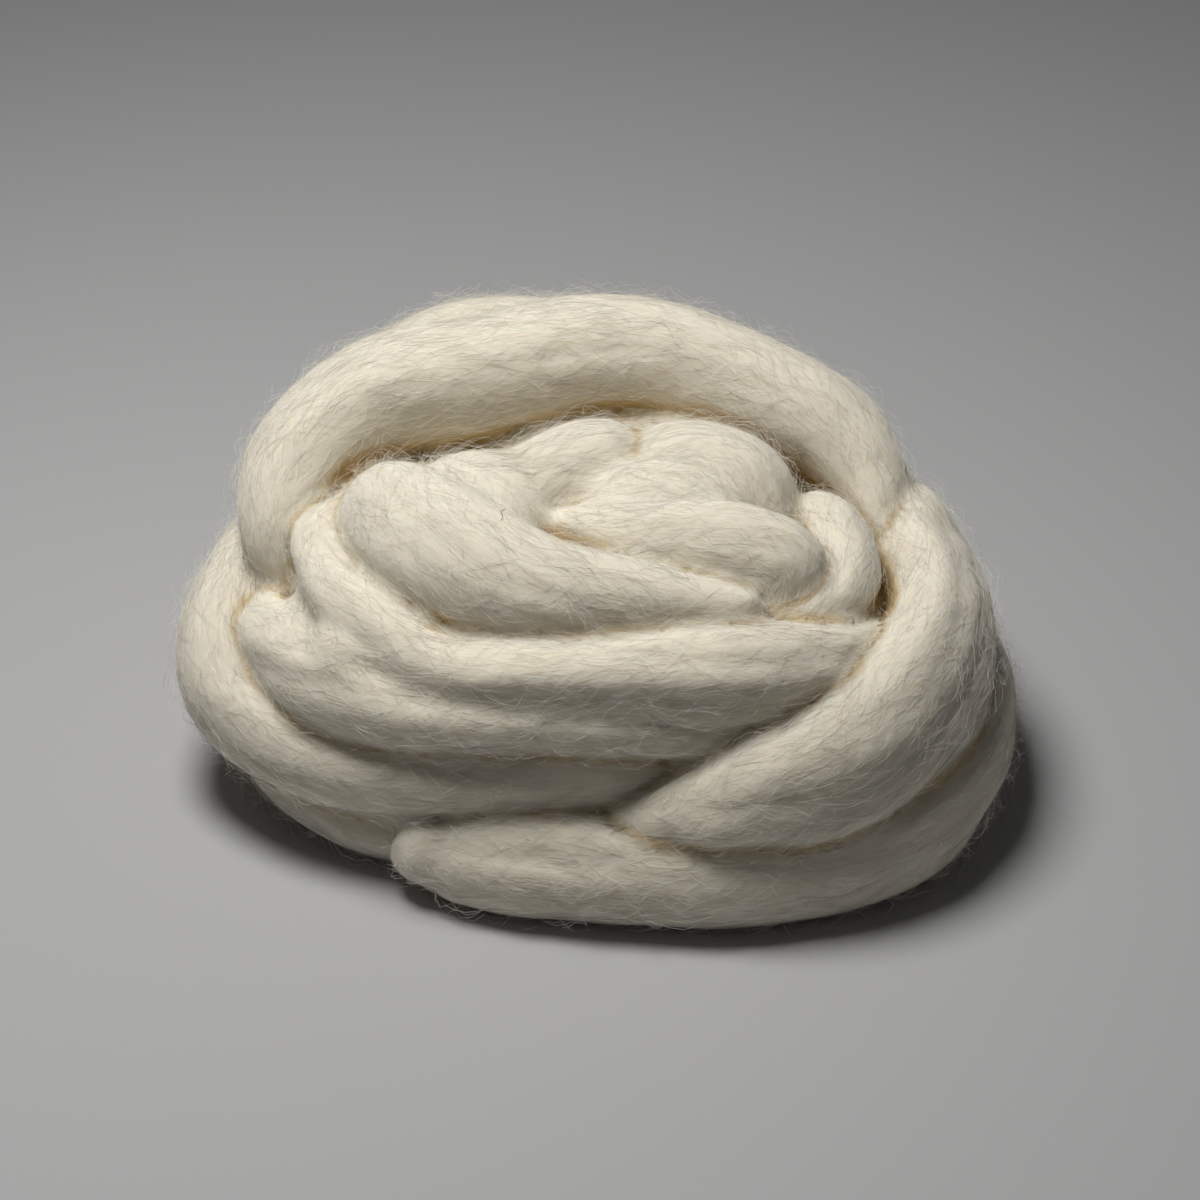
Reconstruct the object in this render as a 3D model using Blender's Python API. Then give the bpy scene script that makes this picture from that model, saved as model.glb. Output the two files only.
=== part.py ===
"""Wool roving wound into a loose nest: one solid of its wound form and main turns.

The roving is one continuous combed strand. Each table below is one turn of it, as it lies in
the nest, and each row is one cross-section. The turns and the packed wool under them are
joined into a single closed body with a flat underside where the nest rests.

Frame: origin on the floor under the nest, +Z up, front towards -Y.
"""

from collections import namedtuple

import bmesh
import bpy
import numpy as np
from mathutils import Vector

MM = 0.001

# Where the strand's middle is, in mm: right (+X), back (+Y) and up (+Z). wide is across the
# strand along the nest's surface, and thick is out of the surface.
Section = namedtuple("Section", "right back up wide thick")

TURNS = {
    # The first turn on the floor, from its folded tip at the front left, right round the nest.
    "floor_turn": [
        Section(-57, -70, 15, 14, 14),
        Section(-48, -66, 14, 28, 28),
        Section(-22, -71, 15, 38, 36),
        Section(14, -74, 16, 42, 40),
        Section(50, -73, 17, 44, 42),
        Section(86, -60, 20, 48, 42),
        Section(106, -30, 24, 54, 40),
        Section(108, 8, 24, 50, 40),
        Section(94, 46, 21, 46, 42),
        Section(58, 76, 19, 44, 42),
        Section(10, 88, 19, 44, 42),
        Section(-40, 82, 19, 44, 42),
        Section(-80, 56, 19, 44, 42),
        Section(-99, 16, 18, 42, 40),
        Section(-94, -20, 17, 40, 36),
        Section(-70, -42, 14, 36, 34),
        Section(-44, -54, 14, 32, 30),
    ],
    # Round the back, down the left side and across the front under the upper turns.
    "side_turn": [
        Section(92, -6, 44, 30, 30),
        Section(94, 30, 50, 42, 40),
        Section(66, 68, 54, 46, 42),
        Section(18, 86, 56, 46, 42),
        Section(-36, 82, 58, 46, 42),
        Section(-80, 56, 60, 44, 40),
        Section(-104, 18, 56, 42, 38),
        Section(-112, -6, 47, 42, 38),
        Section(-107, -24, 38, 40, 36),
        Section(-88, -41, 34, 38, 34),
        Section(-64, -52, 35, 36, 34),
        Section(-32, -58, 39, 36, 34),
        Section(4, -58, 43, 34, 34),
        Section(36, -52, 46, 28, 28),
    ],
    # The broad turn that comes round the back, falls down the right side and tapers at the front.
    "falling_turn": [
        Section(-86, 36, 78, 24, 24),
        Section(-66, 68, 88, 40, 38),
        Section(-36, 86, 94, 46, 40),
        Section(12, 86, 84, 46, 40),
        Section(56, 66, 74, 46, 40),
        Section(88, 28, 63, 48, 38),
        Section(102, -8, 59, 54, 36),
        Section(94, -42, 54, 60, 40),
        Section(71, -65, 46, 54, 40),
        Section(42, -75, 39, 42, 34),
        Section(20, -76, 34, 26, 24),
        Section(6, -74, 32, 12, 12),
    ],
    # The lower of the two turns across the front.
    "front_low": [
        Section(-88, 16, 54, 22, 22),
        Section(-99, -10, 54, 30, 30),
        Section(-85, -36, 57, 34, 34),
        Section(-60, -52, 60, 34, 34),
        Section(-30, -60, 62, 32, 34),
        Section(4, -62, 63, 32, 34),
        Section(36, -58, 63, 34, 34),
        Section(66, -42, 62, 36, 34),
        Section(82, -14, 58, 28, 28),
    ],
    # The upper turn across the front, narrow at the left where it comes from under the top turn.
    "front_high": [
        Section(-72, 20, 84, 12, 14),
        Section(-84, -4, 85, 16, 18),
        Section(-80, -20, 82, 20, 22),
        Section(-70, -36, 77, 24, 26),
        Section(-46, -56, 73, 22, 26),
        Section(-20, -61, 74, 26, 30),
        Section(10, -63, 76, 30, 30),
        Section(44, -60, 74, 34, 32),
        Section(72, -43, 66, 32, 32),
        Section(84, -16, 58, 26, 26),
    ],
    # The thick turn over the top, at the back of the nest.
    "top_turn": [
        Section(-97, -4, 69, 14, 14),
        Section(-97, 4, 80, 24, 26),
        Section(-92, 26, 93, 38, 34),
        Section(-70, 44, 102, 44, 40),
        Section(-34, 53, 107, 44, 40),
        Section(8, 60, 109, 40, 38),
        Section(44, 53, 103, 38, 36),
        Section(68, 40, 97, 34, 34),
        Section(82, 26, 88, 26, 26),
        Section(86, 10, 78, 16, 16),
    ],
    # The heart of the nest: a broad lobe that folds over at the left and runs into the front.
    "heart_left": [
        Section(-58, 32, 76, 24, 22),
        Section(-66, 8, 86, 32, 26),
        Section(-62, -8, 92, 38, 30),
        Section(-44, -29, 95, 40, 34),
        Section(-22, -43, 93, 34, 32),
        Section(8, -46, 90, 26, 28),
        Section(40, -46, 86, 16, 20),
    ],
    # Heart: the short fold at the back, under the top turn.
    "heart_back": [
        Section(-38, 2, 86, 18, 20),
        Section(-22, 6, 94, 30, 28),
        Section(-2, 14, 98, 34, 30),
        Section(10, 28, 90, 22, 22),
    ],
    # Heart: the flat lobe right of it.
    "heart_right": [
        Section(4, 8, 90, 26, 22),
        Section(18, 15, 97, 34, 26),
        Section(34, 13, 98, 36, 28),
        Section(46, 5, 94, 30, 26),
        Section(50, -8, 82, 18, 18),
    ],
    # Heart: the round lobe in the middle, which starts at the eye and folds under at the right.
    "heart_middle": [
        Section(-14, -8, 90, 10, 12),
        Section(-1, -18, 94, 20, 20),
        Section(15, -25, 95, 28, 24),
        Section(36, -27, 95, 32, 26),
        Section(54, -30, 90, 28, 26),
        Section(50, -38, 82, 18, 18),
    ],
    # The small loop that stands at the right of the heart.
    "heart_loop": [
        Section(58, 10, 76, 16, 16),
        Section(66, 4, 84, 20, 20),
        Section(71, -10, 85, 22, 22),
        Section(71, -30, 82, 22, 22),
        Section(60, -40, 80, 18, 20),
        Section(46, -45, 80, 12, 14),
    ],
}

HEART = Vector((0.0, 5.0, 40.0)) * MM  # sections face away from here

# The packed wool that the turns lie on, in mm: the middle of each lump and its half sizes.
Lump = namedtuple("Lump", "middle half")
PACKED = [
    Lump((0, 5, 44), (86, 72, 50)),
    Lump((4, 34, 74), (52, 26, 20)),  # behind the heart, under the top turn
    Lump((2, 6, 12), (106, 78, 24)),  # broad foot that closes the underside
]

STEP = 6 * MM  # between rings along a turn
SIDES = 28  # of a ring
VOXEL = 3.5 * MM  # how finely the turns are fused
KEPT_FACES = 0.22  # share of the fused faces that the solid keeps
FLOOR_DEPTH = 40 * MM

WOOL_COLOUR = (0.83, 0.79, 0.69, 1.0)
WOOL_ROUGHNESS = 0.95


def clear_scene():
    for obj in list(bpy.data.objects):
        bpy.data.objects.remove(obj)


def smooth_rows(rows, step):
    """Rows a step apart on a Catmull-Rom curve through the table's rows, in metres."""
    table = np.array(rows, float) * MM
    ends = 2 * table[[0, -1]] - table[[1, -2]]
    padded = np.vstack([ends[:1], table, ends[1:]])
    found = []
    for i in range(1, len(padded) - 2):
        before, here, there, after = padded[i - 1 : i + 3]
        count = max(2, round(np.linalg.norm(there[:3] - here[:3]) / step))
        for t in np.arange(count) / count:
            line = 2 * here + (there - before) * t
            bend = 2 * before - 5 * here + 4 * there - after
            twist = 3 * here - before - 3 * there + after
            found.append(0.5 * (line + bend * t**2 + twist * t**3))
    found.append(table[-1])
    return np.array(found)


def unit(vectors):
    return vectors / np.linalg.norm(vectors, axis=1, keepdims=True)


def ring_points(path):
    """Each ring's points: an ellipse square to the strand, its thickness facing out of the nest."""
    middles = path[:, :3]
    along = unit(np.gradient(middles, axis=0))
    outward = middles - np.array(HEART)
    outward = unit(outward - (outward * along).sum(1, keepdims=True) * along)
    across = np.cross(along, outward)
    turn = 2 * np.pi * np.arange(SIDES) / SIDES
    sideways = path[:, 3:4] / 2 * np.cos(turn)
    upwards = path[:, 4:5] / 2 * np.sin(turn)
    return middles[:, None] + across[:, None] * sideways[..., None] + outward[:, None] * upwards[..., None]


def add_turn(body, rows):
    """One closed tube through the turn's rings, with a point at each end."""
    path = smooth_rows(rows, STEP)
    rings = [[body.verts.new(point) for point in ring] for ring in ring_points(path)]
    for first, second in zip(rings, rings[1:]):
        for i in range(SIDES):
            j = (i + 1) % SIDES
            body.faces.new((first[i], first[j], second[j], second[i]))
    for ring, end in ((rings[0], path[0]), (rings[-1][::-1], path[-1])):
        tip = body.verts.new(end[:3])
        for i in range(SIDES):
            body.faces.new((ring[(i + 1) % SIDES], ring[i], tip))


def add_lump(body, lump):
    """A rounded lump of packed wool."""
    made = bmesh.ops.create_uvsphere(body, u_segments=48, v_segments=24, radius=1.0)
    middle = Vector(lump.middle) * MM
    half = Vector(lump.half) * MM
    for vert in made["verts"]:
        vert.co = middle + vert.co * half


def wool_material():
    wool = bpy.data.materials.new("wool")
    wool.use_nodes = True
    shader = wool.node_tree.nodes["Principled BSDF"]
    shader.inputs["Base Color"].default_value = WOOL_COLOUR
    shader.inputs["Roughness"].default_value = WOOL_ROUGHNESS
    return wool


def floor_cutter():
    """A block whose top is the floor: it cuts the flat underside."""
    cutter = bmesh.new()
    bmesh.ops.create_cube(cutter, size=1.0)
    for vert in cutter.verts:
        vert.co.z = (vert.co.z - 0.5) * FLOOR_DEPTH
    mesh = bpy.data.meshes.new("floor_cutter")
    cutter.to_mesh(mesh)
    cutter.free()
    block = bpy.data.objects.new("floor_cutter", mesh)
    block.hide_render = True
    block.display_type = "WIRE"
    bpy.context.scene.collection.objects.link(block)
    return block


def wound_form():
    """The packed wool and every turn of the strand, as separate closed shells in one mesh."""
    body = bmesh.new()
    for lump in PACKED:
        add_lump(body, lump)
    for rows in TURNS.values():
        add_turn(body, rows)
    bmesh.ops.recalc_face_normals(body, faces=body.faces)
    mesh = bpy.data.meshes.new("roving")
    body.to_mesh(mesh)
    body.free()
    return mesh


def build_roving():
    """The wound form fused into one solid and cut flat where it rests."""
    mesh = wound_form()
    mesh.materials.append(wool_material())
    roving = bpy.data.objects.new("roving", mesh)
    bpy.context.scene.collection.objects.link(roving)

    fuse = roving.modifiers.new("fuse", "REMESH")
    fuse.mode = "VOXEL"
    fuse.voxel_size = VOXEL
    fuse.use_smooth_shade = True
    soften = roving.modifiers.new("soften", "SMOOTH")
    soften.factor = 0.5
    soften.iterations = 5
    thin = roving.modifiers.new("thin", "DECIMATE")
    thin.ratio = KEPT_FACES
    rest = roving.modifiers.new("rest", "BOOLEAN")
    rest.operation = "DIFFERENCE"
    rest.solver = "EXACT"
    rest.object = floor_cutter()


clear_scene()
build_roving()
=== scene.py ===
"""Looks of the wound wool roving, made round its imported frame.

Each turn of the combed strand is swept with its lumps and folds, and all the turns are felted together
into one soft surface. Then fine fibres are laid on it: a nap that follows the strand, loose hairs that
stand off it, a few curled strays and one short dark hair.
"""

import math
from collections import namedtuple

import bmesh
import bpy
import numpy as np
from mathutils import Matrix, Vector, noise
from mathutils.bvhtree import BVHTree


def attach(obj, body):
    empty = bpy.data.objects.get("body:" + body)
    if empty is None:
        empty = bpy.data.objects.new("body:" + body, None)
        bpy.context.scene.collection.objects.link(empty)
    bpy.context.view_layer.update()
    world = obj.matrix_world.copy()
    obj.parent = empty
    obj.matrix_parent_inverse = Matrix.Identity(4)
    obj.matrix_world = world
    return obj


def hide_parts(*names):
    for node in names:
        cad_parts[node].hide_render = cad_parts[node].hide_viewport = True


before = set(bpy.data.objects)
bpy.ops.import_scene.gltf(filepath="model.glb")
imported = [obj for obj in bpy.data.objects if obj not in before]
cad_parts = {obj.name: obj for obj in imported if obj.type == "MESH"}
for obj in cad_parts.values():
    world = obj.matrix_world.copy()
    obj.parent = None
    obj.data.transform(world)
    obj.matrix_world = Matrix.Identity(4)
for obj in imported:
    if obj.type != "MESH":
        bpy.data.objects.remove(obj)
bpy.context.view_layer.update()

MM = 0.001

# ---- The turns of the strand, as they lie in the nest ----

# Where the strand's middle is, in mm: right (+X), back (+Y) and up (+Z). wide is across the
# strand along the nest's surface, and thick is out of the surface.
Section = namedtuple("Section", "right back up wide thick")

TURNS = {
    # The first turn on the floor, from its folded tip at the front left, right round the nest.
    "floor_turn": [
        Section(-57, -70, 15, 14, 14),
        Section(-48, -66, 14, 28, 28),
        Section(-22, -71, 15, 38, 36),
        Section(14, -74, 16, 42, 40),
        Section(50, -73, 17, 44, 42),
        Section(86, -60, 20, 48, 42),
        Section(106, -30, 24, 54, 40),
        Section(108, 8, 24, 50, 40),
        Section(94, 46, 21, 46, 42),
        Section(58, 76, 19, 44, 42),
        Section(10, 88, 19, 44, 42),
        Section(-40, 82, 19, 44, 42),
        Section(-80, 56, 19, 44, 42),
        Section(-99, 16, 18, 42, 40),
        Section(-94, -20, 17, 40, 36),
        Section(-70, -42, 14, 36, 34),
        Section(-44, -54, 14, 32, 30),
    ],
    # Round the back, down the left side and across the front under the upper turns.
    "side_turn": [
        Section(92, -6, 44, 30, 30),
        Section(94, 30, 50, 42, 40),
        Section(66, 68, 54, 46, 42),
        Section(18, 86, 56, 46, 42),
        Section(-36, 82, 58, 46, 42),
        Section(-80, 56, 60, 44, 40),
        Section(-104, 18, 56, 42, 38),
        Section(-112, -6, 47, 42, 38),
        Section(-107, -24, 38, 40, 36),
        Section(-88, -41, 34, 38, 34),
        Section(-64, -52, 35, 36, 34),
        Section(-32, -58, 39, 36, 34),
        Section(4, -58, 43, 34, 34),
        Section(36, -52, 46, 28, 28),
    ],
    # The broad turn that comes round the back, falls down the right side and tapers at the front.
    "falling_turn": [
        Section(-86, 36, 78, 24, 24),
        Section(-66, 68, 88, 40, 38),
        Section(-36, 86, 94, 46, 40),
        Section(12, 86, 84, 46, 40),
        Section(56, 66, 74, 46, 40),
        Section(88, 28, 63, 48, 38),
        Section(102, -8, 59, 54, 36),
        Section(94, -42, 54, 60, 40),
        Section(71, -65, 46, 54, 40),
        Section(42, -75, 39, 42, 34),
        Section(20, -76, 34, 26, 24),
        Section(6, -74, 32, 12, 12),
    ],
    # The lower of the two turns across the front.
    "front_low": [
        Section(-88, 16, 54, 22, 22),
        Section(-99, -10, 54, 30, 30),
        Section(-85, -36, 57, 34, 34),
        Section(-60, -52, 60, 34, 34),
        Section(-30, -60, 62, 32, 34),
        Section(4, -62, 63, 32, 34),
        Section(36, -58, 63, 34, 34),
        Section(66, -42, 62, 36, 34),
        Section(82, -14, 58, 28, 28),
    ],
    # The upper turn across the front, narrow at the left where it comes from under the top turn.
    "front_high": [
        Section(-72, 20, 84, 12, 14),
        Section(-84, -4, 85, 16, 18),
        Section(-80, -20, 82, 20, 22),
        Section(-70, -36, 77, 24, 26),
        Section(-46, -56, 73, 22, 26),
        Section(-20, -61, 74, 26, 30),
        Section(10, -63, 76, 30, 30),
        Section(44, -60, 74, 34, 32),
        Section(72, -43, 66, 32, 32),
        Section(84, -16, 58, 26, 26),
    ],
    # The thick turn over the top, at the back of the nest.
    "top_turn": [
        Section(-97, -4, 69, 14, 14),
        Section(-97, 4, 80, 24, 26),
        Section(-92, 26, 93, 38, 34),
        Section(-70, 44, 102, 44, 40),
        Section(-34, 53, 107, 44, 40),
        Section(8, 60, 109, 40, 38),
        Section(44, 53, 103, 38, 36),
        Section(68, 40, 97, 34, 34),
        Section(82, 26, 88, 26, 26),
        Section(86, 10, 78, 16, 16),
    ],
    # The heart of the nest: a broad lobe that folds over at the left and runs into the front.
    "heart_left": [
        Section(-58, 32, 76, 24, 22),
        Section(-66, 8, 86, 32, 26),
        Section(-62, -8, 92, 38, 30),
        Section(-44, -29, 95, 40, 34),
        Section(-22, -43, 93, 34, 32),
        Section(8, -46, 90, 26, 28),
        Section(40, -46, 86, 16, 20),
    ],
    # Heart: the short fold at the back, under the top turn.
    "heart_back": [
        Section(-38, 2, 86, 18, 20),
        Section(-22, 6, 94, 30, 28),
        Section(-2, 14, 98, 34, 30),
        Section(10, 28, 90, 22, 22),
    ],
    # Heart: the flat lobe right of it.
    "heart_right": [
        Section(4, 8, 90, 26, 22),
        Section(18, 15, 97, 34, 26),
        Section(34, 13, 98, 36, 28),
        Section(46, 5, 94, 30, 26),
        Section(50, -8, 82, 18, 18),
    ],
    # Heart: the round lobe in the middle, which starts at the eye and folds under at the right.
    "heart_middle": [
        Section(-14, -8, 90, 10, 12),
        Section(-1, -18, 94, 20, 20),
        Section(15, -25, 95, 28, 24),
        Section(36, -27, 95, 32, 26),
        Section(54, -30, 90, 28, 26),
        Section(50, -38, 82, 18, 18),
    ],
    # The small loop that stands at the right of the heart.
    "heart_loop": [
        Section(58, 10, 76, 16, 16),
        Section(66, 4, 84, 20, 20),
        Section(71, -10, 85, 22, 22),
        Section(71, -30, 82, 22, 22),
        Section(60, -40, 80, 18, 20),
        Section(46, -45, 80, 12, 14),
    ],
}

HEART = Vector((0.0, 5.0, 40.0)) * MM  # sections face away from here

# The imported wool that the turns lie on, in mm: the middle of each lump and its half sizes.
Lump = namedtuple("Lump", "middle half")
PACKED = [
    Lump((0, 5, 44), (86, 72, 50)),
    Lump((4, 34, 74), (52, 26, 20)),  # behind the heart, under the top turn
    Lump((3, 6, 12), (111, 80, 24)),  # broad foot that closes the underside
]

# More packed wool, which fills the heart up under its folds.
BEDDING = [
    Lump((-36, -5, 93), (24, 24, 17)),  # between the broad lobe and the fold behind it
    Lump((20, -5, 95), (26, 16, 15)),  # under the flat lobe
    Lump((-42, 26, 78), (30, 16, 14)),  # down in the gap under the top turn
    Lump((8, 36, 84), (48, 16, 15)),  # behind the folds, under the top turn
    Lump((50, -37, 67), (15, 12, 9)),  # in the pocket at the foot of the small loop
    Lump((-69, -43, 69), (17, 14, 13)),  # where the two front turns run together at the left
    Lump((-48, -56, 68), (16, 11, 11)),  # a little further along them
    Lump((-82, -15, 69), (10, 17, 9)),  # in the pit at the left where the front turns start
    Lump((94, 15, 74), (15, 20, 13)),  # where the top turn meets the falling turn
    Lump((-49, -69, 16), (13, 10, 12)),  # in the folded end on the floor
]

# How the combing shows in each turn: the depth of its folds and lumps, in mm, and how fast its
# bundles wind round it, in turns a metre.
Combing = namedtuple("Combing", "folds lumps winding")
PLAIN = Combing(0.8, 1.2, 0.5)
COMBING = {
    "floor_turn": Combing(1.6, 1.5, 0.4),
    "side_turn": Combing(1.4, 1.4, 0.5),
    "falling_turn": Combing(1.8, 1.6, -0.5),
    "front_low": Combing(2.4, 1.3, 0.6),
    "front_high": Combing(2.4, 1.2, -0.4),
    "top_turn": Combing(0.9, 2.0, 0.4),
    "heart_left": Combing(0.5, 1.4, 2.5),
    "heart_back": Combing(0.6, 1.2, 1.0),
}

RING_STEP = 4 * MM  # between rings along a turn
SIDES = 96  # of a ring
TIP_LENGTH = 0.35  # of a turn's rounded ends, as a share of its thickness there
TIP_SLOPES = (25, 52, 78)  # degrees round the tip at which its rings lie
LUMP_RINGS = 30
LUMP_SIDES = 60
LUMP_POLE = 0.02  # radians round each pole of a lump that a flat cap closes
FLOOR_GAP = 0.4 * MM  # between the lowest wool and the floor

# The relief of the combed wool. Each size is across and along the strand.
LUMP_SIZE = (22 * MM, 40 * MM)
FOLD_SIZE = (12 * MM, 120 * MM)
FOLD_SPREAD = 0.4  # how wide a fold opens, as a share of the noise that places it
FOLD_SHARPNESS = 1.5
FULL_RELIEF = 12 * MM  # a strand thinner than twice this has less relief
BUNDLE_SIZE = (4.2 * MM, 45 * MM)
BUNDLE_DEPTH = 0.3 * MM
CLUMP_SIZE = (8 * MM, 14 * MM)
CLUMP_DEPTH = 0.35 * MM
BUNDLES_FADE = 1.25 * MM  # packed wool further than this from any turn has weaker bundles
BUNDLES_END = 3.75 * MM  # and beyond this it has none

GROOVE_WIDTH = 6.5 * MM  # to each side of the line where two turns meet
GROOVE_DEPTH = 0.9 * MM  # on that line
SEAM_SHADE = 0.45  # painted shade on a seam, as a crevice value, even where the seam lies open
BLENDED = [{"heart_left", "heart_back"}, {"front_low", "front_high"}]  # pairs with hardly a groove

BODY_VOXEL = 1.62 * MM  # how finely the turns are felted together
SOFTENING = 13  # rounds of smoothing that soften the valleys between turns

CREVICE_REACH = 26 * MM  # wool nearer than this shades a point
CREVICE_RAYS = 20
CREVICE_START = 0.5 * MM  # off the wool, where the rays that look for wool set out
DEEP = 0.5  # crevice from which a place counts as deep
UNDERSIDE = 3 * MM  # wool lower than this that faces down carries no fibres

# ---- The fibres laid on the wool ----

# pieces of each kind, wisps in a piece, fibres in a wisp, and points along a fibre. long and thick
# are in mm, lift is how far a fibre may stand off the wool, and slant is how far it strays sideways
# for each step ahead. taut is how far it bridges a valley: 0 follows the surface and 1 is straight.
# deep is how many fibres deep places have, as a share of what open ones have.
Fibres = namedtuple("Fibres", "pieces wisps fibres points long thick lift slant taut deep seed")
NAP = Fibres(2, 1600, 4, 7, (9, 26), (0.06, 0.11), 0.35, 0.25, 0.3, 0.6, 100)
FUZZ = Fibres(3, 2900, 2, 6, (7, 22), (0.06, 0.095), 6.5, 0.6, 0.8, 0.8, 200)

WISP_SPREAD = 0.8 * MM  # how far a wisp's fibres start from its middle
OWN_SLANT = 0.5  # how far a fibre differs from its wisp, as a share of its slant
OWN_CURL = 0.5  # how far it bends on the way
WANDER = 0.12  # how far each step strays
NAP_DIP = 0.12  # how far the ends of the nap dip into the wool, in mm
NAP_LOWEST = 0.1  # lift of the lowest nap, as a share of the highest
FUZZ_DIP = 0.15
FUZZ_LEAST = 0.5  # least lift of a loose hair, in mm
FUZZ_CROWDING = 2.2  # the higher, the more loose hairs lie low
FUZZ_ARCH = 0.7  # height of an arch, as a share of the lift
FUZZ_LOOSE = 0.65  # share of hairs with one end loose
FUZZ_LOOSE_RISE = 1.5  # the higher, the later a loose end rises
FUZZ_WAVE = 0.1  # height of the waves in a hair, as a share of its lift
FUZZ_WAVE_TURN = 9  # how far the waves turn along a hair, in radians

# Single hairs that catch the eye: where each starts, in mm, how many degrees it turns from the
# strand's way, its length, how far it stands off, and how much it curls.
Stray = namedtuple("Stray", "right back up turned long lift curl")
CURLED = [
    Stray(-34, -84, 48, 15, 30, 3.0, 1.6),
    Stray(-30, -86, 46, 200, 22, 4.0, -2.2),
    Stray(14, -86, 47, 20, 26, 3.5, 2.6),
    Stray(20, -84, 45, 150, 18, 4.5, -3.0),
    Stray(-4, -86, 50, -10, 36, 2.5, -1.4),
    Stray(-46, -60, 88, 30, 20, 3.0, 1.8),
    Stray(48, -44, 82, 170, 16, 3.5, 2.4),
]
DARK = [Stray(-25, -26, 114, 45, 10, 0.5, 0.4)]
STRAY_SEED = 300
STRAY_POINTS = 14
STRAY_BENDS = 2.5  # half waves along a hair
STRAY_WAVE = 0.25  # how far its lift goes up and down, as a share of it
STRAY_WAVE_TURN = 7  # how far those waves turn along it, in radians
STRAY_SHADE = 0.3  # share of the painted crevice shade on a stray hair: it stands in the light, so it gets less painted shade
CURLED_THICK = (0.13, 0.17)
DARK_THICK = (0.19, 0.21)

ROD_CORNERS = (270, 30, 150)  # degrees round a fibre, so that a flat side faces out
CELL_MARGIN = 0.1  # round each fibre in the bake map

# ---- Colours ----

OPEN_WOOL = (0.80, 0.745, 0.62, 1.0)
# painted shade: the darker, warmer colour that stands for the shade deep between the turns
CREVICE_SHADE_COLOUR = (0.60, 0.43, 0.19, 1.0)
NAP_COLOUR = (0.88, 0.835, 0.735, 1.0)
FUZZ_COLOUR = (0.88, 0.85, 0.77, 1.0)
DARK_FIBRE = (0.10, 0.075, 0.05, 1.0)
FLOOR_COLOUR = (0.43, 0.43, 0.435, 1.0)
SHEEN_TINT = (1.0, 0.97, 0.9, 1.0)
SCATTER_RADIUS = (1.0, 0.8, 0.55)
SHADE_FROM = 0.25  # crevice at which the painted crevice shade starts to darken and warm the wool
SHADE_TO = 0.55  # and at which the wool is all painted shade colour

# ---- The fine hairs in the felted surface ----

HAIR_WIDTH = 0.28 * MM
HAIR_LENGTH = 8 * MM
HAIR_HEIGHT = 0.2 * MM
HAIR_BUMP = 0.6
HAIR_LEVELS = ((1.0, 1.0), (0.22, 2.0))  # scale and detail of the fine hairs and of coarser ones
COARSE_SHARE = 0.25  # of the coarser hairs in the mix
HAIR_ROUGHNESS = 0.6
HAIR_WANDER = 1.0
HAIR_CONTRAST = (0.32, 0.68)  # noise levels of the darkest and the palest hairs

# ---- Camera and light, in metres, with the sensor and the lens in mm ----

LOOK_AT = Vector((0, 0, 58 * MM))
VIEW_TILT = 35  # degrees above the floor
VIEW_DISTANCE = 0.9
SENSOR_WIDTH = 36
LENS = 87.8
LIGHT_PLACE = Vector((-0.18, -0.02, 0.83))
LIGHT_SIZE = 0.30
LIGHT_WATTS = 6.5
LIGHT_COLOUR = (1.0, 0.99, 0.97)
ROOM_COLOUR = (0.95, 0.97, 1.0, 1.0)
ROOM_STRENGTH = 0.045
FLOOR_HALF = 3.0  # from the middle of the floor to each side


def smooth_rows(rows, step):
    """Rows a step apart on a Catmull-Rom curve through the table's rows, in metres."""
    table = np.array(rows, float) * MM
    ends = 2 * table[[0, -1]] - table[[1, -2]]
    padded = np.vstack([ends[:1], table, ends[1:]])
    found = []
    for i in range(1, len(padded) - 2):
        before, here, there, after = padded[i - 1 : i + 3]
        count = max(2, round(np.linalg.norm(there[:3] - here[:3]) / step))
        for t in np.arange(count) / count:
            line = 2 * here + (there - before) * t
            bend = 2 * before - 5 * here + 4 * there - after
            twist = 3 * here - before - 3 * there + after
            found.append(0.5 * (line + bend * t**2 + twist * t**3))
    found.append(table[-1])
    return np.array(found)


def unit(vectors):
    return vectors / np.maximum(np.linalg.norm(vectors, axis=-1, keepdims=True), 1e-12)


def round_tips(path):
    """The path with each end drawn out into a rounded tip."""
    slope = np.radians(TIP_SLOPES)[:, None]
    for _ in range(2):
        path = path[::-1]
        heading = unit(path[-1, :3] - path[-2, :3])
        tip = np.repeat(path[-1:], len(slope), axis=0)
        tip[:, :3] += heading * TIP_LENGTH * path[-1, 4] * np.sin(slope)
        tip[:, 3:] *= np.cos(slope)
        path = np.vstack([path, tip])
    return path


def wool_noise(combed, size):
    """Smooth noise from about -1 to 1, size[0] wide across the strand and size[1] long."""
    across, along = size
    places = combed / np.array([across, across, along])
    flat = places.reshape(-1, 3).tolist()
    return np.array([noise.noise(place) for place in flat]).reshape(places.shape[:-1])


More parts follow.
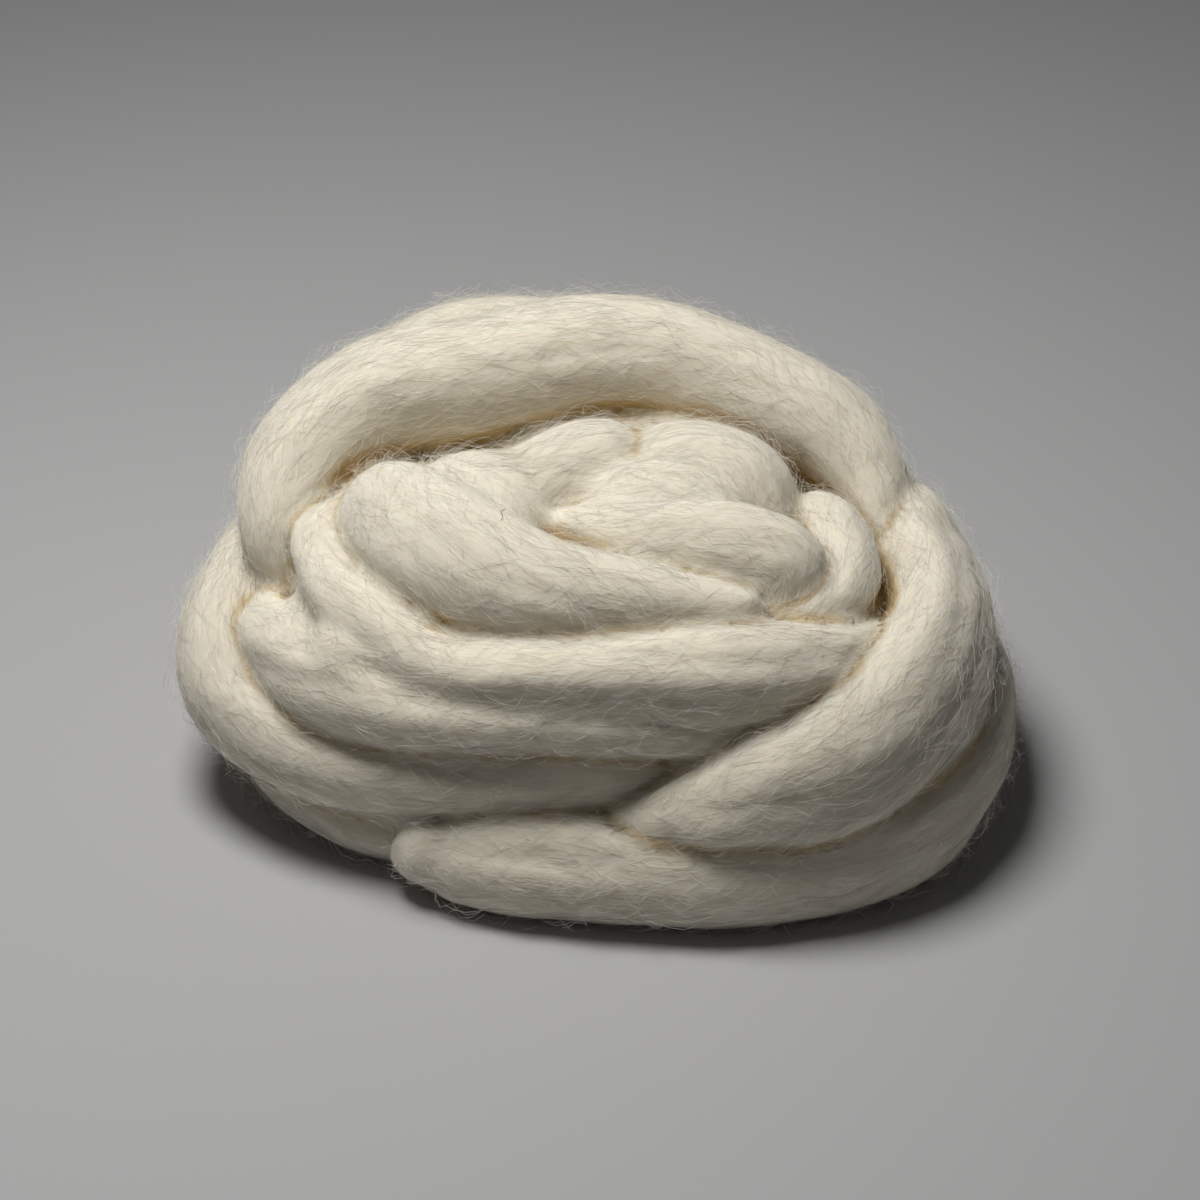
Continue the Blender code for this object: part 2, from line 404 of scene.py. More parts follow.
class Strand:
    """One turn of the strand as a grid of rings and sides.

    combed holds each point's place in the strand itself: across, through and along it, in metres,
    so that the combing runs with the strand.
    """

    def __init__(self, name, rows, number):
        self.name = name
        combing = COMBING.get(name, PLAIN)
        path = round_tips(smooth_rows(rows, RING_STEP))
        middles = path[:, :3]
        steps = np.linalg.norm(np.diff(middles, axis=0), axis=1)
        along = np.concatenate([[0], np.cumsum(steps)])[:, None]
        heading = unit(np.gradient(middles, axis=0))
        outward = middles - np.array(HEART)
        outward = unit(outward - (outward * heading).sum(1, keepdims=True) * heading)
        across = np.cross(heading, outward)

        turn = 2 * np.pi * np.arange(SIDES) / SIDES
        half_wide = path[:, 3:4] / 2
        half_thick = path[:, 4:5] / 2
        x = half_wide * np.cos(turn)
        y = half_thick * np.sin(turn)
        spin = 2 * np.pi * combing.winding * along
        self.combed = np.stack(
            [
                x * np.cos(spin) - y * np.sin(spin),
                x * np.sin(spin) + y * np.cos(spin),
                np.broadcast_to(along + number, x.shape),
            ],
            axis=-1,
        )
        out = unit(
            across[:, None] * (np.cos(turn) * half_thick)[..., None]
            + outward[:, None] * (np.sin(turn) * half_wide)[..., None]
        )
        surface = middles[:, None] + across[:, None] * x[..., None] + outward[:, None] * y[..., None]
        taper = np.clip(np.minimum(half_wide, half_thick) / FULL_RELIEF, 0, 1)
        surface += out * (self.relief(combing) * taper)[..., None]
        surface[..., 2] = np.maximum(surface[..., 2], FLOOR_GAP)
        self.points = surface
        round_it = np.cross(heading[:, None], out)
        winding = 2 * np.pi * combing.winding * np.hypot(x, y)[..., None]
        self.heading = unit(heading[:, None] + round_it * winding)

    def relief(self, combing):
        """How far the combed wool stands in or out of the smooth strand."""
        lumps = wool_noise(self.combed, LUMP_SIZE) * combing.lumps * MM
        near_fold = 1 - np.abs(wool_noise(self.combed, FOLD_SIZE)) / FOLD_SPREAD
        folds = np.clip(near_fold, 0, 1) ** FOLD_SHARPNESS
        return lumps - folds * combing.folds * MM

    def quads(self):
        """The grid's faces, each as the numbers of its corners."""
        ring, side = np.meshgrid(np.arange(len(self.points) - 1), np.arange(SIDES), indexing="ij")
        first = ring * SIDES + side
        second = ring * SIDES + (side + 1) % SIDES
        return np.stack([first, second, second + SIDES, first + SIDES], axis=-1).reshape(-1, 4)


def lump_surface(lump):
    """A rounded lump of packed wool: its corners and quads."""
    rings, sides = LUMP_RINGS, LUMP_SIDES
    tilt = np.linspace(LUMP_POLE, np.pi - LUMP_POLE, rings)[:, None]
    turn = (2 * np.pi * np.arange(sides) / sides)[None]
    ball = np.stack(
        [np.sin(tilt) * np.cos(turn), np.sin(tilt) * np.sin(turn), np.cos(tilt) + 0 * turn], axis=-1
    )
    places = (np.array(lump.middle) + ball * np.array(lump.half)) * MM
    places[..., 2] = np.maximum(places[..., 2], FLOOR_GAP)
    ring, side = np.meshgrid(np.arange(rings - 1), np.arange(sides), indexing="ij")
    first = ring * sides + side
    second = ring * sides + (side + 1) % sides
    quads = np.stack([first, first + sides, second + sides, second], axis=-1).reshape(-1, 4)
    caps = [list(range(sides)), list(range((rings - 1) * sides, rings * sides))[::-1]]
    return places.reshape(-1, 3), quads.tolist() + caps


def raw_nest(strands):
    """All turns and lumps as closed shells in one mesh."""
    corners, faces, start = [], [], 0
    for strand in strands:
        rings = len(strand.points)
        first_cap = list(range(SIDES))[::-1]
        last_cap = list(range((rings - 1) * SIDES, rings * SIDES))
        shell = strand.quads().tolist() + [first_cap, last_cap]
        corners.append(strand.points.reshape(-1, 3))
        faces += [[corner + start for corner in face] for face in shell]
        start += rings * SIDES
    for lump in PACKED + BEDDING:
        places, shell = lump_surface(lump)
        corners.append(places)
        faces += [[corner + start for corner in face] for face in shell]
        start += len(places)
    mesh = bpy.data.meshes.new("raw_nest")
    mesh.from_pydata(np.vstack(corners), [], faces)
    return mesh


def felted_nest(strands):
    """The turns felted together into one soft closed surface: a mesh of the outer skin only."""
    mesh = raw_nest(strands)
    holder = bpy.data.objects.new("raw_nest", mesh)
    bpy.context.scene.collection.objects.link(holder)
    felt = holder.modifiers.new("felt", "REMESH")
    felt.mode = "VOXEL"
    felt.voxel_size = BODY_VOXEL
    soften = holder.modifiers.new("soften", "SMOOTH")
    soften.factor = 0.5
    soften.iterations = SOFTENING
    shaped = holder.evaluated_get(bpy.context.evaluated_depsgraph_get())
    felted = bpy.data.meshes.new_from_object(shaped)
    bpy.data.objects.remove(holder)
    bpy.data.meshes.remove(mesh)
    keep_outer_skin(felted)
    return felted


def keep_outer_skin(mesh):
    """Delete the small closed hollows inside the nest, which no one can see."""
    shape = bmesh.new()
    shape.from_mesh(mesh)
    unseen = set(shape.verts)
    skins = []
    while unseen:
        skin, edge = [], [unseen.pop()]
        while edge:
            vert = edge.pop()
            skin.append(vert)
            for link in vert.link_edges:
                other = link.other_vert(vert)
                if other in unseen:
                    unseen.remove(other)
                    edge.append(other)
        skins.append(skin)
    skins.sort(key=len)
    for skin in skins[:-1]:
        bmesh.ops.delete(shape, geom=skin, context="VERTS")
    for vert in shape.verts:
        vert.co.z = max(vert.co.z, FLOOR_GAP)
    shape.to_mesh(mesh)
    shape.free()


def read_places(items, label):
    """A place, or a direction, from each of a mesh's items."""
    values = np.empty(len(items) * 3, np.float32)
    items.foreach_get(label, values)
    return values.reshape(-1, 3).astype(float)


def even_directions(count):
    """Directions spread over a half dome about +Z, one for each equal share of what it sees."""
    k = np.arange(count) + 0.5
    up = np.sqrt(1 - k / count)
    flat = np.sqrt(1 - up**2)
    angle = k * np.pi * (3 - math.sqrt(5))
    return np.stack([flat * np.cos(angle), flat * np.sin(angle), up], axis=-1)


class Wool:
    """The felted surface with what lies at each of its points.

    combed and heading come from the nearest turn, whose number is turn, and depth is how far off it
    is. crevice is 0 where the wool lies open and near 1 deep between turns.
    """

    def __init__(self, mesh, strands):
        self.points = read_places(mesh.vertices, "co")
        self.match_strands(strands)
        relief = wool_noise(self.combed, BUNDLE_SIZE) * BUNDLE_DEPTH
        relief += wool_noise(self.combed, CLUMP_SIZE) * CLUMP_DEPTH
        relief *= np.clip((BUNDLES_END - self.depth) / (BUNDLES_END - BUNDLES_FADE), 0, 1)
        seam = self.grooves(strands)
        relief -= seam * GROOVE_DEPTH
        self.points += read_places(mesh.vertices, "normal") * relief[:, None]
        self.points[:, 2] = np.maximum(self.points[:, 2], FLOOR_GAP)
        mesh.vertices.foreach_set("co", self.points.astype(np.float32).ravel())
        mesh.update()
        self.normals = read_places(mesh.vertices, "normal")
        mesh.calc_loop_triangles()
        self.triangles = np.empty(len(mesh.loop_triangles) * 3, np.int32)
        mesh.loop_triangles.foreach_get("vertices", self.triangles)
        self.triangles = self.triangles.reshape(-1, 3)
        self.tree = BVHTree.FromPolygons(self.points.tolist(), self.triangles.tolist())
        self.find_crevices()
        # painted shade: seams get a crevice value too, which the materials paint darker and warmer
        self.crevice = np.maximum(self.crevice, seam**2 * SEAM_SHADE)

    def match_strands(self, strands):
        """Take what each point needs from the nearest place on the nearest turn."""
        grids = [strand.points.reshape(-1, 3) for strand in strands]
        starts = np.concatenate([[0], np.cumsum([len(grid) for grid in grids])])
        corners = np.vstack(grids)
        quads = np.vstack([strand.quads() + start for strand, start in zip(strands, starts)])
        tree = BVHTree.FromPolygons(corners.tolist(), quads.tolist())
        nearest = [tree.find_nearest(Vector(point)) for point in self.points]
        place = np.array([found[0] for found in nearest])
        quad = quads[[found[2] for found in nearest]]
        self.depth = np.array([found[3] for found in nearest])
        a, b, c, d = (corners[quad[:, k]] for k in range(4))
        side_way = (b - a + c - d) / 2
        ring_way = (d - a + c - b) / 2
        offset = place - (a + b + c + d) / 4
        u = np.clip((offset * side_way).sum(1) / (side_way**2).sum(1), -0.5, 0.5) + 0.5
        v = np.clip((offset * ring_way).sum(1) / (ring_way**2).sum(1), -0.5, 0.5) + 0.5
        shares = np.stack([(1 - u) * (1 - v), u * (1 - v), u * v, (1 - u) * v], axis=-1)[..., None]
        self.turn = np.searchsorted(starts, quad[:, 0], side="right") - 1
        combed = np.vstack([strand.combed.reshape(-1, 3) for strand in strands])
        heading = np.vstack([strand.heading.reshape(-1, 3) for strand in strands])
        self.combed = (combed[quad] * shares).sum(1)
        self.heading = unit((heading[quad] * shares).sum(1))

    def grooves(self, strands):
        """1 on the lines where two turns meet, and less to each side of them."""
        nearest = np.full(len(self.points), GROOVE_WIDTH)
        for number, strand in enumerate(strands):
            tree = BVHTree.FromPolygons(strand.points.reshape(-1, 3).tolist(), strand.quads().tolist())
            apart = [{strand.name, other.name} not in BLENDED for other in strands]
            for point in np.flatnonzero((self.turn != number) & np.array(apart)[self.turn]):
                distance = tree.find_nearest(Vector(self.points[point]), GROOVE_WIDTH)[3]
                if distance is not None:
                    nearest[point] = min(nearest[point], distance)
        return (1 - (nearest / GROOVE_WIDTH) ** 2) ** 2

    def find_crevices(self):
        """How much wool lies close over each point."""
        helper = np.where(np.abs(self.normals[:, 2:]) < 0.9, [[0.0, 0.0, 1.0]], [[1.0, 0.0, 0.0]])
        first = unit(np.cross(self.normals, helper))
        second = np.cross(self.normals, first)
        starts = [Vector(place) for place in self.points + self.normals * CREVICE_START]
        shade = np.zeros(len(starts))
        for flat_x, flat_y, up in even_directions(CREVICE_RAYS):
            rays = first * flat_x + second * flat_y + self.normals * up
            hits = [self.tree.ray_cast(a, Vector(b), CREVICE_REACH)[3] for a, b in zip(starts, rays)]
            near = np.array([CREVICE_REACH if hit is None else hit for hit in hits])
            shade += 1 - near / CREVICE_REACH
        self.crevice = shade / CREVICE_RAYS

    def scatter(self, count, rng, deep_share):
        """Random places on the wool, fewer of them down in the crevices and none underneath."""
        corners = self.points[self.triangles]
        normal = np.cross(corners[:, 1] - corners[:, 0], corners[:, 2] - corners[:, 0])
        area = np.linalg.norm(normal, axis=1)
        under = (corners[:, :, 2].max(1) < UNDERSIDE) & (normal[:, 2] < 0)
        area[under] = 0
        area[self.crevice[self.triangles[:, 0]] > DEEP] *= deep_share
        chosen = rng.choice(len(area), count, p=area / area.sum())
        a, b = rng.uniform(0, 1, (2, count, 1))
        over = a + b > 1
        a, b = np.where(over, 1 - a, a), np.where(over, 1 - b, b)
        tri = corners[chosen]
        return tri[:, 0] + (tri[:, 1] - tri[:, 0]) * a + (tri[:, 2] - tri[:, 0]) * b

    def settle(self, places):
        """The nearest places on the wool, and the number of a point of the wool at each."""
        found = [self.tree.find_nearest(Vector(place)) for place in places]
        surface = np.array([hit[0] for hit in found])
        point = self.triangles[[hit[2] for hit in found], 0]
        return surface, point


# ---- Fibres ----


def lay_fibres(wool, kind, rng, lift_of):
    """Lines of points for one piece's fibres, with the outward direction and crevice at each."""
    roots = np.repeat(wool.scatter(kind.wisps, rng, kind.deep), kind.fibres, axis=0)
    count = len(roots)
    roots += rng.normal(0, WISP_SPREAD, (count, 3))
    step = rng.uniform(*kind.long, count)[:, None] * MM / (kind.points - 1)
    way = np.repeat(rng.choice([-1.0, 1.0], kind.wisps), kind.fibres)[:, None]
    wisp_slant = np.repeat(rng.normal(0, 1, kind.wisps), kind.fibres)
    slant = (wisp_slant + rng.normal(0, OWN_SLANT, count))[:, None] * kind.slant
    curl = rng.normal(0, OWN_CURL, count)[:, None] * kind.slant
    here, point = wool.settle(roots)
    lines, points = [here], [point]
    for stage in np.linspace(-1, 1, kind.points - 1):
        ahead = wool.heading[point] * way
        aside = np.cross(wool.normals[point], ahead)
        drift = slant + curl * stage + rng.normal(0, WANDER, (count, 1))
        here, point = wool.settle(here + unit(ahead + aside * drift) * step)
        lines.append(here)
        points.append(point)
    lines = np.stack(lines, axis=1)
    outs = unit(wool.normals[np.stack(points, axis=1)])
    t = np.linspace(0, 1, kind.points)
    chord = lines[:, :1] * (1 - t[:, None]) + lines[:, -1:] * t[:, None]
    gap = ((chord - lines) * outs).sum(-1)
    gap = np.clip(gap, 0, None) * rng.uniform(0, kind.taut, (count, 1))
    lines += outs * (gap + lift_of(rng, count, t, kind))[..., None]
    # the crevice at each point, which the fibre material turns into painted shade
    return lines, outs, wool.crevice[np.stack(points, axis=1)]


def lay_strays(wool, strays):
    """Lines of points for single hairs that start from places of their own."""
    table = np.array(strays)
    here, point = wool.settle(table[:, :3] * MM)
    turned = np.radians(table[:, 3:4])
    step = table[:, 4:5] * MM / (STRAY_POINTS - 1)
    lift = table[:, 5:6] * MM
    curl = table[:, 6:7]
    lines, points = [here], [point]
    for stage in np.linspace(0, 1, STRAY_POINTS - 1):
        angle = turned + curl * np.sin(STRAY_BENDS * np.pi * stage + table[:, :1])
        ahead = wool.heading[point]
        aside = np.cross(ahead, wool.normals[point])
        here, point = wool.settle(here + (ahead * np.cos(angle) + aside * np.sin(angle)) * step)
        lines.append(here)
        points.append(point)
    points = np.stack(points, axis=1)
    outs = np.repeat(unit(wool.normals[points].mean(1, keepdims=True)), STRAY_POINTS, axis=1)
    t = np.linspace(0, 1, STRAY_POINTS)
    wave = STRAY_WAVE * np.sin(STRAY_WAVE_TURN * t + table[:, 1:2]) * t
    lines = np.stack(lines, axis=1) + outs * (lift * (t + wave))[..., None]
    # the crevice at each point, lessened, which the material turns into painted shade
    return lines, outs, wool.crevice[points] * STRAY_SHADE


def nap_lift(rng, count, t, kind):
    """Fibres that lie along the strand and dip into it at both ends."""
    height = rng.uniform(NAP_LOWEST, 1.0, count)[:, None] * kind.lift
    return (height * np.sin(np.pi * t) - NAP_DIP) * MM


def fuzz_lift(rng, count, t, kind):
    """Loose hairs: some arch off the wool, and some stand away at one end."""
    height = kind.lift * rng.uniform(0, 1, count)[:, None] ** FUZZ_CROWDING + FUZZ_LEAST
    arch = np.sin(np.pi * t) * FUZZ_ARCH
    loose = rng.uniform(0, 1, count)[:, None] < FUZZ_LOOSE
    wave_start = rng.uniform(0, 6.3, count)[:, None]
    wave = np.sin(wave_start + FUZZ_WAVE_TURN * t) * FUZZ_WAVE
    rise = np.where(loose, t**FUZZ_LOOSE_RISE, arch)
    return (height * (rise + wave * t) - FUZZ_DIP) * MM


def rod_faces(points):
    """One fibre's faces, for a tip, a ring of three corners at each point between, and a tip."""
    last_ring = 1 + 3 * (points - 3)
    last_tip = last_ring + 3
    faces = []
    for k in range(3):
        m = (k + 1) % 3
        faces.append([0, 1 + k, 1 + m])
        faces.append([last_ring + m, last_ring + k, last_tip])
        for start in range(1, last_ring, 3):
            faces.append([start + m, start + k, start + k + 3])
            faces.append([start + m, start + k + 3, start + m + 3])
    return np.array(faces)


def bake_cells(count, points):
    """Where each corner of each fibre lies in the bake map, with a cell for every fibre."""
    cells = math.ceil(math.sqrt(count))
    cell = np.stack([np.arange(count) % cells, np.arange(count) // cells], axis=-1)
    along = np.concatenate([[0], np.repeat(np.arange(1, points - 1), 3), [points - 1]]) / (points - 1)
    round_it = np.concatenate([[0.5], np.tile([0.0, 0.5, 1.0], points - 2), [0.5]])
    in_cell = CELL_MARGIN + (1 - 2 * CELL_MARGIN) * np.stack([along, round_it], axis=-1)
    return ((cell[:, None] + in_cell) / cells).reshape(-1, 2)


def fibre_piece(name, lines, outs, depths, thick, rng, material):
    """Fibres as one mesh: each a fine three-sided rod, flat side out, pointed at both ends."""
    count, points = lines.shape[:2]
    heading = unit(np.gradient(lines, axis=1))
    side = unit(np.cross(heading, outs))
    up = np.cross(side, heading)
    radius = rng.uniform(*thick, count)[:, None, None, None] * MM / 2
    angle = np.radians(ROD_CORNERS)[:, None]
    offset = side[:, 1:-1, None] * np.cos(angle) + up[:, 1:-1, None] * np.sin(angle)
    body = (lines[:, 1:-1, None] + offset * radius).reshape(count, -1, 3)
    corners = np.concatenate([lines[:, :1], body, lines[:, -1:]], axis=1)
    corners[..., 2] = np.maximum(corners[..., 2], FLOOR_GAP)
    per_fibre = corners.shape[1]
    faces = rod_faces(points)[None] + (np.arange(count) * per_fibre)[:, None, None]
    faces = faces.reshape(-1, 3)

    inner = np.repeat(depths[:, 1:-1], 3, axis=1)
    depth = np.concatenate([depths[:, :1], inner, depths[:, -1:]], axis=1)
    mesh = bpy.data.meshes.new(name)
    mesh.from_pydata(corners.reshape(-1, 3), [], faces)
    bake_map = bake_cells(count, points)[faces.ravel()].astype(np.float32)
    mesh.uv_layers.new(name="OFBake").data.foreach_set("uv", bake_map.ravel())
    # painted shade: the crevice at each corner, which the material paints darker and warmer
    add_values(mesh, "crevice", depth)
    add_values(mesh, "tint", np.repeat(rng.uniform(0, 1, count), per_fibre))
    add_piece(name, mesh, material)


def add_values(mesh, label, values):
    """A number, or a place, for each of the mesh's points, which its material reads."""
    is_place = values.ndim == 2 and values.shape[1] == 3 and len(values) == len(mesh.vertices)
    kind, field = ("FLOAT_VECTOR", "vector") if is_place else ("FLOAT", "value")
    layer = mesh.attributes.new(label, kind, "POINT")
    layer.data.foreach_set(field, values.astype(np.float32).ravel())


def add_piece(name, mesh, material):
    """Show the mesh as a piece of the wool, in place of the plain solid."""
    mesh.polygons.foreach_set("use_smooth", np.ones(len(mesh.polygons), bool))
    mesh.materials.append(material)
    piece = bpy.data.objects.new(name, mesh)
    bpy.context.scene.collection.objects.link(piece)
    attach(piece, "root")
    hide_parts("roving")


def lay_pieces(wool, label, kind, lift_of, material):
    """All the pieces of one kind of fibre."""
    for number in range(kind.pieces):
        rng = np.random.default_rng(kind.seed + number)
        lines, outs, depths = lay_fibres(wool, kind, rng, lift_of)
        fibre_piece(f"{label}_{number + 1}", lines, outs, depths, kind.thick, rng, material)


def stray_pieces(wool, curled_material, dark_material):
    rng = np.random.default_rng(STRAY_SEED)
    fibre_piece("curled_hairs", *lay_strays(wool, CURLED), CURLED_THICK, rng, curled_material)
    fibre_piece("dark_hair", *lay_strays(wool, DARK), DARK_THICK, rng, dark_material)


# ---- Materials ----


def add_socket(group, label, kind, way, value=None):
    made = group.interface.new_socket(name=label, in_out=way, socket_type=kind)
    if value is not None:
        made.default_value = value


def combed_streaks():
    """Fine lines that run with the strand: how pale the hairs are, and how high they lie."""
    group = bpy.data.node_groups.new("combed_streaks", "ShaderNodeTree")
    add_socket(group, "Combed", "NodeSocketVector", "INPUT")
    add_socket(group, "Hair width", "NodeSocketFloat", "INPUT", HAIR_WIDTH)
    add_socket(group, "Hair length", "NodeSocketFloat", "INPUT", HAIR_LENGTH)
    add_socket(group, "Shade", "NodeSocketFloat", "OUTPUT")
    add_socket(group, "Height", "NodeSocketFloat", "OUTPUT")
    nodes, links = group.nodes, group.links
    given = nodes.new("NodeGroupInput")
    out = nodes.new("NodeGroupOutput")
    size = nodes.new("ShaderNodeCombineXYZ")
    links.new(given.outputs["Hair width"], size.inputs[0])
    links.new(given.outputs["Hair width"], size.inputs[1])
    links.new(given.outputs["Hair length"], size.inputs[2])
    stretched = nodes.new("ShaderNodeVectorMath")
    stretched.operation = "DIVIDE"
    links.new(given.outputs["Combed"], stretched.inputs[0])
    links.new(size.outputs[0], stretched.inputs[1])
    levels = []
    for scale, detail in HAIR_LEVELS:
        streak = nodes.new("ShaderNodeTexNoise")
        streak.inputs["Scale"].default_value = scale
        streak.inputs["Detail"].default_value = detail
        streak.inputs["Roughness"].default_value = HAIR_ROUGHNESS
        streak.inputs["Distortion"].default_value = HAIR_WANDER
        links.new(stretched.outputs[0], streak.inputs["Vector"])
        levels.append(streak)
    both = nodes.new("ShaderNodeMix")
    both.inputs["Factor"].default_value = COARSE_SHARE
    links.new(levels[0].outputs["Fac"], both.inputs["A"])
    links.new(levels[1].outputs["Fac"], both.inputs["B"])
    spread = nodes.new("ShaderNodeMapRange")
    spread.interpolation_type = "SMOOTHSTEP"
    spread.inputs["From Min"].default_value = HAIR_CONTRAST[0]
    spread.inputs["From Max"].default_value = HAIR_CONTRAST[1]
    links.new(both.outputs["Result"], spread.inputs["Value"])
    links.new(spread.outputs["Result"], out.inputs["Shade"])
    links.new(both.outputs["Result"], out.inputs["Height"])
    return group


def painted_crevice_shade():
    """Wool colour with painted shade: pale where it lies open, and painted warmer and darker deep
    between the turns, where shade falls.
    """
    group = bpy.data.node_groups.new("painted_crevice_shade", "ShaderNodeTree")
    add_socket(group, "Open wool", "NodeSocketColor", "INPUT", OPEN_WOOL)
    add_socket(group, "Painted shade", "NodeSocketColor", "INPUT", CREVICE_SHADE_COLOUR)
    add_socket(group, "Crevice", "NodeSocketFloat", "INPUT")
    add_socket(group, "Shade", "NodeSocketFloat", "INPUT", 0.5)
    add_socket(group, "Streak depth", "NodeSocketFloat", "INPUT", 0.15)
    add_socket(group, "Colour", "NodeSocketColor", "OUTPUT")
    nodes, links = group.nodes, group.links
    given = nodes.new("NodeGroupInput")
    out = nodes.new("NodeGroupOutput")
    # painted shade: how far the crevice turns the wool to the shade colour
    depth = nodes.new("ShaderNodeMapRange")
    depth.interpolation_type = "SMOOTHSTEP"
    depth.inputs["From Min"].default_value = SHADE_FROM
    depth.inputs["From Max"].default_value = SHADE_TO
    links.new(given.outputs["Crevice"], depth.inputs["Value"])
    crevice_shaded = nodes.new("ShaderNodeMix")
    crevice_shaded.data_type = "RGBA"
    links.new(depth.outputs["Result"], crevice_shaded.inputs["Factor"])
    links.new(given.outputs["Open wool"], crevice_shaded.inputs["A"])
    links.new(given.outputs["Painted shade"], crevice_shaded.inputs["B"])
    pale = nodes.new("ShaderNodeMath")
    pale.operation = "MULTIPLY_ADD"
    links.new(given.outputs["Shade"], pale.inputs[0])
    links.new(given.outputs["Streak depth"], pale.inputs[1])
    pale.inputs[2].default_value = 1.0
    level = nodes.new("ShaderNodeMath")
    level.operation = "SUBTRACT"
    links.new(pale.outputs[0], level.inputs[0])
    links.new(given.outputs["Streak depth"], level.inputs[1])
    shaded = nodes.new("ShaderNodeVectorMath")
    shaded.operation = "SCALE"
    links.new(crevice_shaded.outputs["Result"], shaded.inputs[0])
    links.new(level.outputs[0], shaded.inputs["Scale"])
    links.new(shaded.outputs[0], out.inputs["Colour"])
    return group


def new_material(name, roughness, sheen=0.0, scatter=0.0, scatter_reach=0.0):
    """A material with its node tree and its shader, set for dull stuff."""
    material = bpy.data.materials.new(name)
    material.use_nodes = True
    shader = material.node_tree.nodes["Principled BSDF"]
    shader.inputs["Roughness"].default_value = roughness
    shader.inputs["Specular IOR Level"].default_value = 0.2
    shader.inputs["Sheen Weight"].default_value = sheen
    shader.inputs["Sheen Roughness"].default_value = 0.5
    shader.inputs["Sheen Tint"].default_value = SHEEN_TINT
    shader.inputs["Subsurface Weight"].default_value = scatter
    shader.inputs["Subsurface Radius"].default_value = SCATTER_RADIUS
    shader.inputs["Subsurface Scale"].default_value = scatter_reach
    return material, material.node_tree, shader


def read_values(tree, label):
    """A node that reads what add_values wrote."""
    node = tree.nodes.new("ShaderNodeAttribute")
    node.attribute_name = label
    return node


def place_group(tree, group, **values):
    """A node group in a material, with values for its inputs: an underscore stands for a space."""
    node = tree.nodes.new("ShaderNodeGroup")
    node.node_tree = group
    for label, value in values.items():
        node.inputs[label.replace("_", " ")].default_value = value
    return node


def combed_wool(streaks, shade_group):
    """The felted surface under the loose fibres."""
    material, tree, shader = new_material(
        "combed_wool", roughness=0.9, sheen=0.2, scatter=0.75, scatter_reach=4 * MM
    )
    lines = place_group(tree, streaks, Hair_width=HAIR_WIDTH, Hair_length=HAIR_LENGTH)
    tree.links.new(read_values(tree, "combed").outputs["Vector"], lines.inputs["Combed"])
    # painted shade: the crevice darkens and warms the wool's colour
    colour = place_group(tree, shade_group, Streak_depth=0.14)
    tree.links.new(read_values(tree, "crevice").outputs["Fac"], colour.inputs["Crevice"])
    tree.links.new(lines.outputs["Shade"], colour.inputs["Shade"])
    tree.links.new(colour.outputs["Colour"], shader.inputs["Base Color"])
    bump = tree.nodes.new("ShaderNodeBump")
    bump.inputs["Strength"].default_value = HAIR_BUMP
    bump.inputs["Distance"].default_value = HAIR_HEIGHT
    tree.links.new(lines.outputs["Height"], bump.inputs["Height"])
    tree.links.new(bump.outputs["Normal"], shader.inputs["Normal"])
    return material


def fibre_wool(name, shade_group, open_wool, streak_depth):
    """Single fibres, each a little paler or darker than the next."""
    material, tree, shader = new_material(name, roughness=0.6, sheen=0.1)
    colour = place_group(tree, shade_group, Streak_depth=streak_depth, Open_wool=open_wool)
    # painted shade: the crevice darkens and warms each fibre's colour
    tree.links.new(read_values(tree, "crevice").outputs["Fac"], colour.inputs["Crevice"])
    tree.links.new(read_values(tree, "tint").outputs["Fac"], colour.inputs["Shade"])
    tree.links.new(colour.outputs["Colour"], shader.inputs["Base Color"])
    return material


# ---- Floor, camera and light ----


def plain_floor():
    material, _, shader = new_material("pale_floor", roughness=0.9)
    shader.inputs["Base Color"].default_value = FLOOR_COLOUR
    corners = [(x * FLOOR_HALF, y * FLOOR_HALF, 0) for x, y in ((-1, -1), (1, -1), (1, 1), (-1, 1))]
    mesh = bpy.data.meshes.new("floor")
    mesh.from_pydata(corners, [], [(0, 1, 2, 3)])
    mesh.materials.append(material)
    floor = bpy.data.objects.new("floor", mesh)
    bpy.context.scene.collection.objects.link(floor)


def aim(thing, place, target):
    thing.location = place
    thing.rotation_mode = "QUATERNION"
    thing.rotation_quaternion = (target - place).to_track_quat("-Z", "Y")


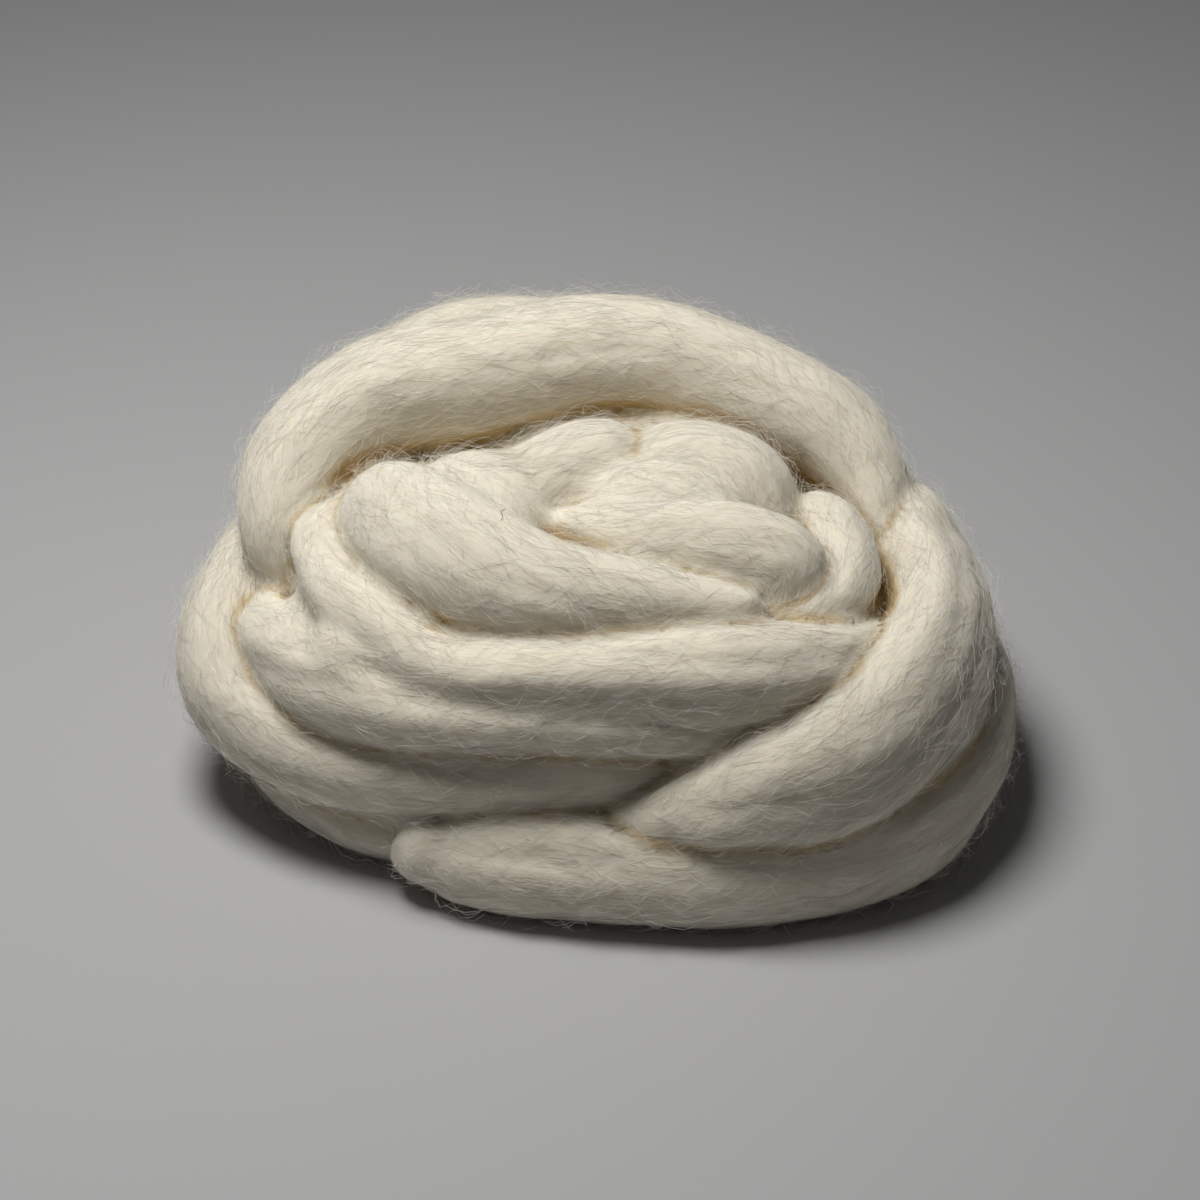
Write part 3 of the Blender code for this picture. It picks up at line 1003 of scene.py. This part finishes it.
def view_camera():
    camera = bpy.data.objects.new("camera", bpy.data.cameras.new("camera"))
    camera.data.sensor_width = SENSOR_WIDTH
    camera.data.lens = LENS
    bpy.context.scene.collection.objects.link(camera)
    tilt = math.radians(VIEW_TILT)
    aim(camera, LOOK_AT + Vector((0, -math.cos(tilt), math.sin(tilt))) * VIEW_DISTANCE, LOOK_AT)
    bpy.context.scene.camera = camera


def soft_light():
    """One soft lamp over the nest, a little to the left."""
    lamp = bpy.data.lights.new("overhead", "AREA")
    lamp.shape = "DISK"
    lamp.size = LIGHT_SIZE
    lamp.energy = LIGHT_WATTS
    lamp.color = LIGHT_COLOUR
    holder = bpy.data.objects.new("overhead", lamp)
    bpy.context.scene.collection.objects.link(holder)
    aim(holder, LIGHT_PLACE, LOOK_AT)


def room_light():
    world = bpy.data.worlds.new("room")
    bpy.context.scene.world = world
    world.use_nodes = True
    background = world.node_tree.nodes["Background"]
    background.inputs["Color"].default_value = ROOM_COLOUR
    background.inputs["Strength"].default_value = ROOM_STRENGTH
    bpy.context.scene.view_settings.view_transform = "Standard"


def build():
    view_camera()
    soft_light()
    room_light()
    plain_floor()
    streaks, shade_group = combed_streaks(), painted_crevice_shade()
    nap_wool = fibre_wool("nap_wool", shade_group, NAP_COLOUR, streak_depth=0.12)
    fuzz_wool = fibre_wool("fuzz_wool", shade_group, FUZZ_COLOUR, streak_depth=0.10)
    dark_wool = fibre_wool("dark_wool", shade_group, DARK_FIBRE, streak_depth=0.10)

    strands = [Strand(name, rows, i) for i, (name, rows) in enumerate(TURNS.items())]
    mesh = felted_nest(strands)
    wool = Wool(mesh, strands)
    add_values(mesh, "combed", wool.combed)
    # the crevice, which the material turns into painted shade
    add_values(mesh, "crevice", wool.crevice)
    mesh.name = "wound_wool"
    add_piece("wound_wool", mesh, combed_wool(streaks, shade_group))

    lay_pieces(wool, "nap", NAP, nap_lift, nap_wool)
    stray_pieces(wool, fuzz_wool, dark_wool)
    lay_pieces(wool, "fuzz", FUZZ, fuzz_lift, fuzz_wool)


build()
